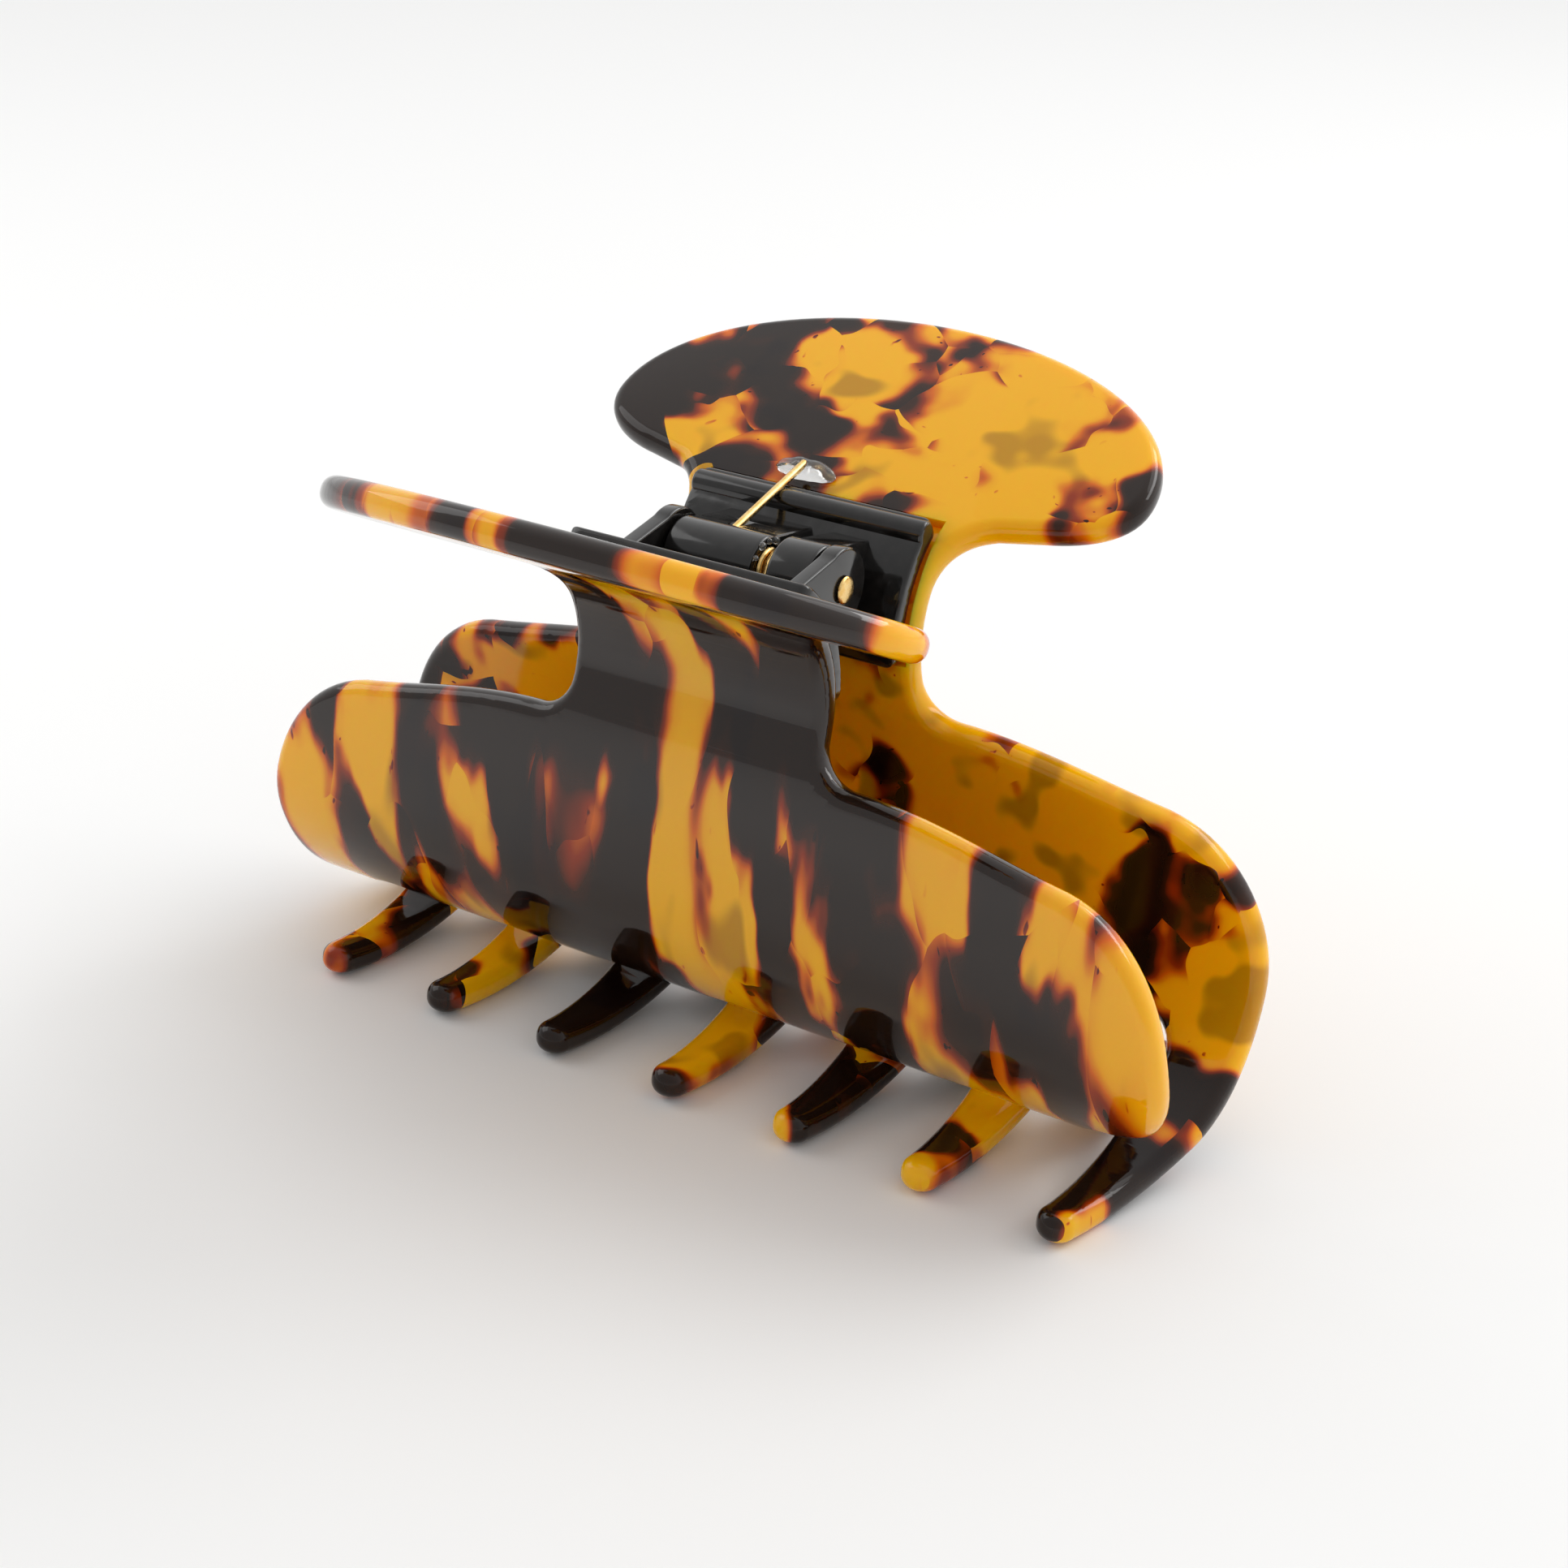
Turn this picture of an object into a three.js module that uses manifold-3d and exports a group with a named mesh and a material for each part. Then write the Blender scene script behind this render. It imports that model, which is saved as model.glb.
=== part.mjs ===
// A sprung claw clip for hair: two bent acetate jaws, each cemented to a moulded hinge
// bracket, turning on one brass pin under a torsion spring.
//
// Frame: X along the clip, Y from the front jaw to the rear jaw, +Z up, millimetres. The clip stands
// on its tooth tips at Z = 0, closed, with the hinge axis above the origin.

import * as THREE from 'three';
import { mergeVertices } from 'three/addons/utils/BufferGeometryUtils.js';
import Module from 'manifold-3d';

const wasm = await Module();
wasm.setup();

// ---- Driving dimensions -------------------------------------------------------------------------

const SHEET = 2.8;                 // acetate sheet thickness
const FIT_GAP = 0.3;               // kept between pieces that rest on each other

// Each jaw is cut flat, then bent about lines parallel to X. "along" is the distance down the bent
// sheet, 0 at the waist, negative up the paddle. "lean" is the sheet's slope: 0 is upright.
const PADDLE_TOP = -31.7;          // along, upper edge of the finger paddle
const PADDLE_LEAN = -64;           // degrees
const BENDS = [                    // runs from the paddle's upper edge down, each of one curvature
  { length: 24.1, turn: 0 },       // flat finger paddle
  { length: 15.2, turn: 80.7 },    // waist bend
  { length: 17.9, turn: -16.3 },   // bowed body
  { length: 14.8, turn: -58.4 },   // tight curl above the teeth
  { length: 30, turn: -62.8 },     // teeth sweep under
];
const BEND_STEP = 16;              // degrees turned by each facet of a bend
const CROSSING = 44.3;             // along, where the closed jaws pass through each other

const PADDLE_HALF_WIDTH = 28.4;
const PADDLE_WIDEST = -15.2;       // along
const PADDLE_HEEL = [20.9, -8.55]; // X and along, where the paddle's underside leaves its round cheek
const NECK_HALF_WIDTH = 13.1;
const SHOULDER = 11.45;            // along, where the body starts below the neck
const BODY_HALF_LENGTH = 47.7;
const BODY_WIDEST = 29.6;          // along
const OUTLINE_STEPS = 4;           // straight pieces in each curve of the outline

const TEETH = 7;
const TOOTH_PITCH = 13;
const FIRST_TOOTH = -2.75 * TOOTH_PITCH;  // a quarter pitch off centre, so that the jaws interleave
const TOOTH_ROOT = 42.5;           // along, where the gaps between the teeth become round
const TOOTH_END = 61;              // along, tip of a tooth
const ROOT_HALF_WIDTH = 3.25;
const TIP_RADIUS = 1.8;
const TOOTH_SLANT = 0.07;          // sideways drift of a tooth for each millimetre along
const END_GAP = { shift: 0.6, radius: 3.9 };  // the gap beside the right end tooth is wider
const REAR_END_GAP_ROOT = 37.4;    // along; in the rear jaw that gap also runs deeper

const HINGE_ABOVE_WAIST = 2.8;     // hinge axis above the middle of the sheet at along = 0
const POCKET_DEPTH = 1.1;          // recess in the neck's inner face that the bracket sits in
const POCKET_MARGIN = 0.9;         // recess showing above the bracket
const CEMENT = 0.3;                // cement film in the recess
const CEMENT_MARGIN = 0.6;         // plate left bare round the film
const PLATE = 1.8;                 // bracket plate thickness
const PLATE_HALF_WIDTH = 12.2;
const PLATE_TOP = -6;              // along
const PLATE_BOTTOM = 5.4;          // along
const RAIL_RADIUS = 1.25;          // rounded rail along the top of the plate

const PIN_RADIUS = 0.95;
const PIN_HOLE_RADIUS = 1.0;
const PIN_HEAD_RADIUS = 1.25;
const PIN_HEAD = 0.35;
const PIN_HEAD_GAP = 0.12;
const EAR_INNER = 7.8;             // X of the front bracket's two ears
const EAR_OUTER = 9.4;
const EAR_RADIUS = 3.7;
const EAR_TIP = [-4.4, -9.4];     // Y and height from the hinge axis
const BARREL = { from: -7.5, to: 1.6, radius: 3.1 };
const KNUCKLE = { from: 3.4, to: 7.5, radius: 3.5 };
const CHAMBER_FROM = -4.4;         // the barrel is bored from here to its right end for the spring
const CHAMBER_RADIUS = 2.4;
const SLOT = 1.3;                  // square slot that lets the rear spring leg out of the barrel

const WIRE_RADIUS = 0.38;
const COIL_RADIUS = 1.75;
const COIL_FROM = -3.1;
const COIL_TO = 2.7;
const COIL_TURNS = 6;              // whole turns, plus the part turn between the two legs
const REAR_LEG_END = -8.7;         // along, where the rear leg is glued to the rear jaw
const REAR_LEG_OUT = -2.6;         // its middle, measured from the middle of the sheet
const FRONT_LEG_END = 2.2;         // along, where the front leg presses on the front bracket
const GLUE_RADII = [3.2, 1.1, 2.2]; // half sizes of the glue drop across, along and out of the sheet
const WIRE_CLEARANCE = 0.15;       // round the wire in the glue

// ---- Bent sheet ---------------------------------------------------------------------------------

const radians = THREE.MathUtils.degToRad;

// Walks down the bends to the given distance along the sheet, from an unplaced starting point.
function walkBends(along) {
  let y = 0;
  let z = 0;
  let lean = radians(PADDLE_LEAN);
  let left = along - PADDLE_TOP;
  for (const [index, bend] of BENDS.entries()) {
    const last = index === BENDS.length - 1;
    const step = last ? left : Math.min(left, bend.length);
    const rate = radians(bend.turn) / bend.length;
    const next = lean + rate * step;
    y += rate === 0 ? Math.sin(lean) * step : (Math.cos(lean) - Math.cos(next)) / rate;
    z -= rate === 0 ? Math.cos(lean) * step : (Math.sin(next) - Math.sin(lean)) / rate;
    lean = next;
    left -= step;
    if (left <= 0) break;
  }
  return { y, z, lean };
}

// The sheet is lowest where it has curled to a right angle.
function lowestAlong() {
  const curl = BENDS[BENDS.length - 1];
  const before = BENDS.slice(0, -1).reduce((sum, bend) => sum + bend.turn, PADDLE_LEAN);
  const length = BENDS.slice(0, -1).reduce((sum, bend) => sum + bend.length, PADDLE_TOP);
  return length + (-90 - before) / curl.turn * curl.length;
}

const SHIFT_Y = -walkBends(CROSSING).y;
const SHIFT_Z = SHEET / 2 - walkBends(lowestAlong()).z;

// A point of the rear jaw: across is X, along runs down the sheet, out is towards its outer face.
function bentPoint(across, along, out) {
  const { y, z, lean } = walkBends(along);
  const placedY = y + SHIFT_Y + out * Math.cos(lean);
  const placedZ = z + SHIFT_Z + out * Math.sin(lean);
  return new THREE.Vector3(across, placedY, placedZ);
}

const HINGE_Z = bentPoint(0, 0, 0).z + HINGE_ABOVE_WAIST;

// Distances along the sheet where flat faces are split so that they can follow the bends.
function bendLines() {
  const lines = [];
  let start = PADDLE_TOP;
  for (const bend of BENDS) {
    const pieces = bend.turn === 0 ? 1 : Math.ceil(Math.abs(bend.turn) / BEND_STEP);
    for (let i = 1; i <= pieces; i += 1) lines.push(start + bend.length * i / pieces);
    start += bend.length;
  }
  return lines;
}

// Splits every triangle at the bend lines, then bends the whole solid.
function bendSolid(geometry) {
  const flat = weld(geometry);
  const points = [];
  const source = flat.getAttribute('position');
  for (let i = 0; i < source.count; i += 1) {
    points.push([source.getX(i), source.getY(i), source.getZ(i)]);
  }
  let triangles = [];
  for (let i = 0; i < flat.index.count; i += 3) {
    triangles.push([flat.index.getX(i), flat.index.getX(i + 1), flat.index.getX(i + 2)]);
  }
  for (const line of bendLines()) triangles = splitAt(line, points, triangles);
  const bent = points.flatMap(([x, y, z]) => bentPoint(x, y, z).toArray());
  const result = new THREE.BufferGeometry();
  result.setAttribute('position', new THREE.Float32BufferAttribute(bent, 3));
  result.setIndex(triangles.flat());
  return result;
}

// Cuts the triangles that cross the line. New points are shared by the triangles on both sides.
function splitAt(line, points, triangles) {
  const near = 1e-4;
  const sides = points.map((point) => (Math.abs(point[1] - line) < near ? 0 : Math.sign(point[1] - line)));
  const cuts = new Map();
  const cut = (a, b) => {
    const key = a < b ? `${a},${b}` : `${b},${a}`;
    if (!cuts.has(key)) {
      const [low, high] = a < b ? [points[a], points[b]] : [points[b], points[a]];
      const t = (line - low[1]) / (high[1] - low[1]);
      cuts.set(key, points.length);
      points.push([low[0] + (high[0] - low[0]) * t, line, low[2] + (high[2] - low[2]) * t]);
      sides.push(0);
    }
    return cuts.get(key);
  };
  const result = [];
  for (const triangle of triangles) {
    const [sa, sb, sc] = triangle.map((i) => sides[i]);
    const crosses = Math.min(sa, sb, sc) < 0 && Math.max(sa, sb, sc) > 0;
    if (!crosses) {
      result.push(triangle);
      continue;
    }
    // Turn the triangle so that its first corner is alone on its side, or lies on the line.
    const onLine = [sa, sb, sc].indexOf(0);
    const lone = onLine >= 0 ? onLine : [sa, sb, sc].findIndex((side, i, all) => (
      side !== all[(i + 1) % 3] && side !== all[(i + 2) % 3]));
    const [a, b, c] = [0, 1, 2].map((i) => triangle[(lone + i) % 3]);
    if (onLine >= 0) {
      const middle = cut(b, c);
      result.push([a, b, middle], [a, middle, c]);
    } else {
      const first = cut(a, b);
      const second = cut(a, c);
      result.push([a, first, second], [first, b, c], [first, c, second]);
    }
  }
  return result;
}

// Distances out from the middle of the sheet, from the recess in the neck towards the hinge.
const POCKET_FLOOR = -SHEET / 2 + POCKET_DEPTH;
const CEMENT_BACK = POCKET_FLOOR - FIT_GAP;
const PLATE_BACK = CEMENT_BACK - CEMENT - FIT_GAP;
const PLATE_FACE = PLATE_BACK - PLATE;

// ---- Solids -------------------------------------------------------------------------------------

function weld(geometry) {
  const bare = geometry.clone();
  for (const name of ['normal', 'uv']) bare.deleteAttribute(name);
  return mergeVertices(bare, 1e-4);
}

function toSolid(geometry) {
  const welded = weld(geometry);
  return new wasm.Manifold(new wasm.Mesh({
    numProp: 3,
    vertProperties: new Float32Array(welded.getAttribute('position').array),
    triVerts: new Uint32Array(welded.index.array),
  }));
}

function toGeometry(solid) {
  const mesh = solid.getMesh();
  const geometry = new THREE.BufferGeometry();
  geometry.setAttribute('position', new THREE.BufferAttribute(mesh.vertProperties, 3));
  geometry.setIndex(new THREE.BufferAttribute(mesh.triVerts, 1));
  return geometry;
}

function join(first, ...others) {
  return toGeometry(others.reduce((sum, piece) => sum.add(toSolid(piece)), toSolid(first)));
}

function cutAway(body, ...tools) {
  return toGeometry(tools.reduce((rest, tool) => rest.subtract(toSolid(tool)), toSolid(body)));
}

// A block in the flat sheet's own coordinates.
function sheetBlock(halfWidth, top, bottom, inner, outer) {
  const block = new THREE.BoxGeometry(2 * halfWidth, bottom - top, outer - inner);
  return block.translate(0, (top + bottom) / 2, (inner + outer) / 2);
}

// A round bar along X, centred on the hinge axis.
function hingeBar(from, to, radius, sides = 28) {
  const bar = new THREE.CylinderGeometry(radius, radius, to - from, sides);
  return bar.rotateZ(Math.PI / 2).translate((from + to) / 2, 0, HINGE_Z);
}

// A slab between two X planes whose outline is given in Y and in height from the hinge axis.
function hingeSlab(outline, from, to) {
  const slab = new THREE.ExtrudeGeometry(outline, {
    depth: to - from,
    curveSegments: 14,
    bevelEnabled: false,
  });
  const toFrame = new THREE.Matrix4().makeBasis(
    new THREE.Vector3(0, 1, 0), new THREE.Vector3(0, 0, 1), new THREE.Vector3(1, 0, 0));
  return slab.applyMatrix4(toFrame).translate(from, 0, HINGE_Z);
}

function rotateToFront(geometry) {
  return geometry.clone().rotateZ(Math.PI);
}

// ---- Acetate jaws -------------------------------------------------------------------------------

function toothAxis(index, along) {
  return FIRST_TOOTH + TOOTH_PITCH * index - TOOTH_SLANT * (along - CROSSING);
}

// The paddle, neck and shoulder of one side, as far as the end of the body.
function drawSide(shape, side) {
  const curve = (x1, s1, x2, s2, x, s) => shape.bezierCurveTo(side * x1, s1, side * x2, s2, side * x, s);
  const line = (x, s) => shape.lineTo(side * x, s);
  const cheek = PADDLE_HALF_WIDTH;
  const neck = NECK_HALF_WIDTH;
  const end = BODY_HALF_LENGTH;
  const [heelX, heel] = PADDLE_HEEL;
  curve(cheek, PADDLE_WIDEST + 4.1, heelX + 3.5, heel - 0.7, heelX, heel);
  line(heelX - 3.5, heel + 0.8);
  curve(neck + 2.1, heel + 1.6, neck, heel + 4, neck, heel + 7.9);
  line(neck, SHOULDER - 3.5);
  curve(neck, SHOULDER - 1.5, neck + 1.6, SHOULDER, neck + 3.6, SHOULDER);
  curve(neck + 10.6, SHOULDER + 0.1, end - 17.7, SHOULDER + 1.9, end - 11.7, SHOULDER + 2.9);
  curve(end - 4.2, SHOULDER + 3.8, end, BODY_WIDEST - 7, end, BODY_WIDEST);
}

// The flat blank: right side, end tooth, the comb of teeth, then the left side back to the start.
function jawOutline(endGapRoot) {
  const shape = new THREE.Shape();
  const rise = PADDLE_WIDEST - PADDLE_TOP;
  const tipAlong = TOOTH_END - TIP_RADIUS;
  const last = TEETH - 1;
  const end = BODY_HALF_LENGTH;
  const side = toothAxis(last, tipAlong) + TIP_RADIUS;
  shape.moveTo(0, PADDLE_TOP);
  shape.absellipse(0, PADDLE_WIDEST, PADDLE_HALF_WIDTH, rise, -Math.PI / 2, 0, false);
  drawSide(shape, 1);
  shape.bezierCurveTo(end, BODY_WIDEST + 5, end, CROSSING - 3.5, end - 1.1, CROSSING);
  shape.bezierCurveTo(end - 2.5, CROSSING + 4.7, side + 0.9, tipAlong - 5, side, tipAlong);
  for (let i = last; i >= 0; i -= 1) {
    shape.absarc(toothAxis(i, tipAlong), tipAlong, TIP_RADIUS, 0, Math.PI, false);
    if (i > 0) {
      const besideEnd = i === last;
      const root = besideEnd ? endGapRoot : TOOTH_ROOT;
      const middle = toothAxis(i, root) - TOOTH_PITCH / 2 + (besideEnd ? END_GAP.shift : 0);
      const radius = besideEnd ? END_GAP.radius : TOOTH_PITCH / 2 - ROOT_HALF_WIDTH;
      shape.absarc(middle, root, radius, 0, -Math.PI, true);
    }
  }
  shape.lineTo(toothAxis(0, TOOTH_ROOT) - ROOT_HALF_WIDTH, TOOTH_ROOT);
  shape.bezierCurveTo(8.6 - end, TOOTH_ROOT - 2.3, 7.8 - end, TOOTH_ROOT - 3.6, 6.3 - end, TOOTH_ROOT - 4.1);
  shape.bezierCurveTo(2.5 - end, TOOTH_ROOT - 5.3, -end, BODY_WIDEST + 5, -end, BODY_WIDEST);
  return closeLeft(shape);
}

// The left side is the right side walked backwards, mirrored.
function closeLeft(shape) {
  const side = new THREE.Path();
  side.moveTo(-PADDLE_HALF_WIDTH, PADDLE_WIDEST);
  drawSide(side, -1);
  const points = side.getPoints(OUTLINE_STEPS).reverse();
  for (const point of points.slice(1)) shape.lineTo(point.x, point.y);
  const rise = PADDLE_WIDEST - PADDLE_TOP;
  shape.absellipse(0, PADDLE_WIDEST, PADDLE_HALF_WIDTH, rise, Math.PI, 1.5 * Math.PI, false);
  return shape;
}

function makeJaw(endGapRoot) {
  const blank = new THREE.ExtrudeGeometry(jawOutline(endGapRoot), {
    depth: SHEET,
    curveSegments: OUTLINE_STEPS,
    bevelEnabled: false,
  });
  blank.translate(0, 0, -SHEET / 2);
  const top = PLATE_TOP - POCKET_MARGIN;
  const bottom = PLATE_BOTTOM + FIT_GAP;
  const pocket = sheetBlock(PLATE_HALF_WIDTH + FIT_GAP, top, bottom, -SHEET, POCKET_FLOOR);
  return bendSolid(cutAway(blank, pocket));
}

// ---- Hinge brackets -----------------------------------------------------------------------------

// Side view points that follow the plate's middle, as Y and height from the hinge axis.
function plateSpine(from, to) {
  const count = 5;
  return Array.from({ length: count }, (_, i) => {
    const point = bentPoint(0, from + (to - from) * i / (count - 1), PLATE_BACK - PLATE / 2);
    return [point.y, point.z - HINGE_Z];
  });
}

// The curved plate that is cemented to a neck, with the rounded rail along its top.
function bracketPlate() {
  const plate = bendSolid(sheetBlock(PLATE_HALF_WIDTH, PLATE_TOP, PLATE_BOTTOM, PLATE_FACE, PLATE_BACK));
  const middle = bentPoint(0, PLATE_TOP + RAIL_RADIUS, PLATE_BACK - RAIL_RADIUS);
  const rail = new THREE.CylinderGeometry(RAIL_RADIUS, RAIL_RADIUS, 2 * PLATE_HALF_WIDTH, 16);
  rail.rotateZ(Math.PI / 2).translate(0, middle.y, middle.z);
  return join(plate, rail);
}

// A teardrop that runs from a round end on the hinge axis to the points of a plate's spine.
function teardrop(radius, spine, topAngle, bottomAngle) {
  const shape = new THREE.Shape();
  shape.moveTo(...spine[0]);
  for (const point of spine.slice(1)) shape.lineTo(...point);
  shape.absarc(0, 0, radius, radians(bottomAngle), radians(topAngle), true);
  return shape;
}

function rearBracket() {
  const spine = plateSpine(-3.6, 3);
  const barrelWeb = teardrop(BARREL.radius, spine, 100, -75);
  const knuckleWeb = teardrop(KNUCKLE.radius, spine, 100, -75);
  const solid = join(
    bracketPlate(),
    hingeBar(BARREL.from, BARREL.to, BARREL.radius),
    hingeSlab(barrelWeb, BARREL.from, BARREL.to),
    hingeBar(KNUCKLE.from, KNUCKLE.to, KNUCKLE.radius),
    hingeSlab(knuckleWeb, KNUCKLE.from, KNUCKLE.to));
  const pinHole = hingeBar(-EAR_OUTER, EAR_OUTER, PIN_HOLE_RADIUS);
  const chamber = hingeBar(CHAMBER_FROM, BARREL.to + 1, CHAMBER_RADIUS);
  const { tangent, heading, reach } = rearLeg();
  const slot = new THREE.BoxGeometry(SLOT, reach + 2, SLOT).translate(0, reach / 2 + 1, 0);
  slot.rotateX(Math.atan2(heading[1], heading[0]));
  slot.translate(COIL_FROM, tangent[0], HINGE_Z + tangent[1]);
  return cutAway(solid, pinHole, chamber, slot);
}

function frontBracket() {
  const ear = new THREE.Shape();
  ear.absarc(0, 0, EAR_RADIUS, radians(-50), radians(117), false);
  for (const [y, height] of plateSpine(-4, PLATE_BOTTOM - 1)) ear.lineTo(-y, height);
  ear.lineTo(...EAR_TIP);
  const pinHole = hingeBar(-EAR_OUTER - 1, EAR_OUTER + 1, PIN_HOLE_RADIUS);
  const solid = join(
    rotateToFront(bracketPlate()),
    hingeSlab(ear, EAR_INNER, EAR_OUTER),
    hingeSlab(ear, -EAR_OUTER, -EAR_INNER));
  return cutAway(solid, pinHole);
}

// A film of cement between the recess and the back of the plate.
function cementFilm() {
  const halfWidth = PLATE_HALF_WIDTH - CEMENT_MARGIN;
  const top = PLATE_TOP + CEMENT_MARGIN;
  const bottom = PLATE_BOTTOM - CEMENT_MARGIN;
  return bendSolid(sheetBlock(halfWidth, top, bottom, CEMENT_BACK - CEMENT, CEMENT_BACK));
}

// ---- Pin and spring -----------------------------------------------------------------------------

// A plain pin whose two ends are peened over the ears.
function hingePin() {
  const inner = EAR_OUTER + PIN_HEAD_GAP;
  const outer = inner + PIN_HEAD;
  const right = [
    [PIN_RADIUS, inner],
    [PIN_HEAD_RADIUS, inner],
    [PIN_HEAD_RADIUS, outer - 0.2],
    [0.8, outer - 0.06],
    [0, outer],
  ];
  const left = right.map(([radius, x]) => [radius, -x]).reverse();
  const profile = [...left, ...right].map(([radius, x]) => new THREE.Vector2(radius, x));
  return new THREE.LatheGeometry(profile, 28).rotateZ(-Math.PI / 2).translate(0, 0, HINGE_Z);
}

// A straight leg leaves the coil along a tangent. The tangent point and heading are Y and height.
function tangentLeg(end, turn) {
  const distance = Math.hypot(...end);
  const angle = Math.atan2(end[1], end[0]) - turn * Math.acos(COIL_RADIUS / distance);
  const tangent = [COIL_RADIUS * Math.cos(angle), COIL_RADIUS * Math.sin(angle)];
  const reach = Math.sqrt(distance ** 2 - COIL_RADIUS ** 2);
  const heading = [(end[0] - tangent[0]) / reach, (end[1] - tangent[1]) / reach];
  return { angle, tangent, heading, reach };
}

function rearLeg() {
  const end = bentPoint(0, REAR_LEG_END, REAR_LEG_OUT);
  return tangentLeg([end.y, end.z - HINGE_Z], -1);
}

function frontLeg() {
  const end = bentPoint(0, FRONT_LEG_END, PLATE_FACE - FIT_GAP - WIRE_RADIUS);
  return tangentLeg([-end.y, end.z - HINGE_Z], 1);
}

// The wire's middle line: rear leg, coil about the hinge axis, front leg.
class SpringWire extends THREE.Curve {
  constructor() {
    super();
    this.rear = rearLeg();
    this.front = frontLeg();
    const partTurn = THREE.MathUtils.euclideanModulo(this.front.angle - this.rear.angle, 2 * Math.PI);
    this.sweep = COIL_TURNS * 2 * Math.PI + partTurn;
    this.coil = Math.hypot(this.sweep * COIL_RADIUS, COIL_TO - COIL_FROM);
    this.total = this.rear.reach + this.coil + this.front.reach;
  }

  getPoint(t, target = new THREE.Vector3()) {
    const walked = t * this.total - this.rear.reach;
    if (walked < 0) return this.onLeg(this.rear, COIL_FROM, -walked, target);
    if (walked > this.coil) return this.onLeg(this.front, COIL_TO, walked - this.coil, target);
    const share = walked / this.coil;
    const angle = this.rear.angle + share * this.sweep;
    const x = COIL_FROM + share * (COIL_TO - COIL_FROM);
    return target.set(x, COIL_RADIUS * Math.cos(angle), HINGE_Z + COIL_RADIUS * Math.sin(angle));
  }

  onLeg({ tangent, heading }, x, distance, target) {
    const [y, height] = [0, 1].map((i) => tangent[i] + heading[i] * distance);
    return target.set(x, y, HINGE_Z + height);
  }
}

function circle(radius, sides) {
  const angles = Array.from({ length: sides }, (_, i) => i / sides * 2 * Math.PI);
  return new THREE.Shape(angles.map((a) => new THREE.Vector2(radius * Math.cos(a), radius * Math.sin(a))));
}

function torsionSpring() {
  const options = { steps: 104, bevelEnabled: false, extrudePath: new SpringWire() };
  return new THREE.ExtrudeGeometry(circle(WIRE_RADIUS, 6), options);
}

// A drop of clear glue that holds the rear leg against the rear jaw, above the bracket's rail.
function springGlue() {
  const drop = new THREE.SphereGeometry(1, 20, 12).scale(...GLUE_RADII);
  const face = -SHEET / 2 - FIT_GAP;
  drop.translate(COIL_FROM, REAR_LEG_END, face);
  const halfDrop = cutAway(drop, sheetBlock(30, -20, 0, face, SHEET));
  const { tangent, heading, reach } = rearLeg();
  const channelRadius = WIRE_RADIUS + WIRE_CLEARANCE;
  const channel = new THREE.CylinderGeometry(channelRadius, channelRadius, 6, 12);
  channel.translate(0, reach - 2.5, 0).rotateX(Math.atan2(heading[1], heading[0]));
  channel.translate(COIL_FROM, tangent[0], HINGE_Z + tangent[1]);
  return cutAway(bendSolid(halfDrop), channel);
}

// ---- The clip -----------------------------------------------------------------------------------

const ACETATE = { color: 0xc98a12, roughness: 0.15, metalness: 0 };
const BLACK_PLASTIC = { color: 0x0d0c0b, roughness: 0.2, metalness: 0 };
const BRASS = { color: 0xc9a14a, roughness: 0.3, metalness: 1 };
const CLEAR_GLUE = { color: 0xe8e4da, roughness: 0.1, metalness: 0 };

const clip = new THREE.Group();

function addPiece(name, geometry, finish) {
  const mesh = new THREE.Mesh(geometry, new THREE.MeshStandardMaterial(finish));
  mesh.name = name;
  clip.add(mesh);
}

const cement = cementFilm();
addPiece('rear_jaw', makeJaw(REAR_END_GAP_ROOT), ACETATE);
addPiece('front_jaw', rotateToFront(makeJaw(TOOTH_ROOT)), ACETATE);
addPiece('rear_bracket', rearBracket(), BLACK_PLASTIC);
addPiece('front_bracket', frontBracket(), BLACK_PLASTIC);
addPiece('rear_cement', cement, CLEAR_GLUE);
addPiece('front_cement', rotateToFront(cement), CLEAR_GLUE);
addPiece('hinge_pin', hingePin(), BRASS);
addPiece('torsion_spring', torsionSpring(), BRASS);
addPiece('spring_glue', springGlue(), CLEAR_GLUE);

export default clip;
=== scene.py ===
"""Looks for the claw clip: fine acetate jaws, moulded brackets, pin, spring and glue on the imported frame."""
import math

import bmesh
import bpy
import numpy as np
from mathutils import Matrix, Vector, noise


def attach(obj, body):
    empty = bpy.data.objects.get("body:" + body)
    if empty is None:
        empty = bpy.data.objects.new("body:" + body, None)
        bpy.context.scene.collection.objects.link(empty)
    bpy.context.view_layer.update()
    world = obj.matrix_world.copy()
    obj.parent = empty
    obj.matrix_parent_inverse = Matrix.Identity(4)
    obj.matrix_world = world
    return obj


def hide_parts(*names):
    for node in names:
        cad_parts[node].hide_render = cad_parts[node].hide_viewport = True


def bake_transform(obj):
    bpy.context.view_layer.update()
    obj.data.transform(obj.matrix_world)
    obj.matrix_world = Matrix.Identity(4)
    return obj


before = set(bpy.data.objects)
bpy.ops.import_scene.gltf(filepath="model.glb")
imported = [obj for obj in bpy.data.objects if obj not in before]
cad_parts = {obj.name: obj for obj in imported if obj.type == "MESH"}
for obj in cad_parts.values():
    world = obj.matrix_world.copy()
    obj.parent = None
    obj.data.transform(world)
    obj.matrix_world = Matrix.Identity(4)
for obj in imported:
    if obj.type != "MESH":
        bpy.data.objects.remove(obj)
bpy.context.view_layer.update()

MM = 0.001

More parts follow.
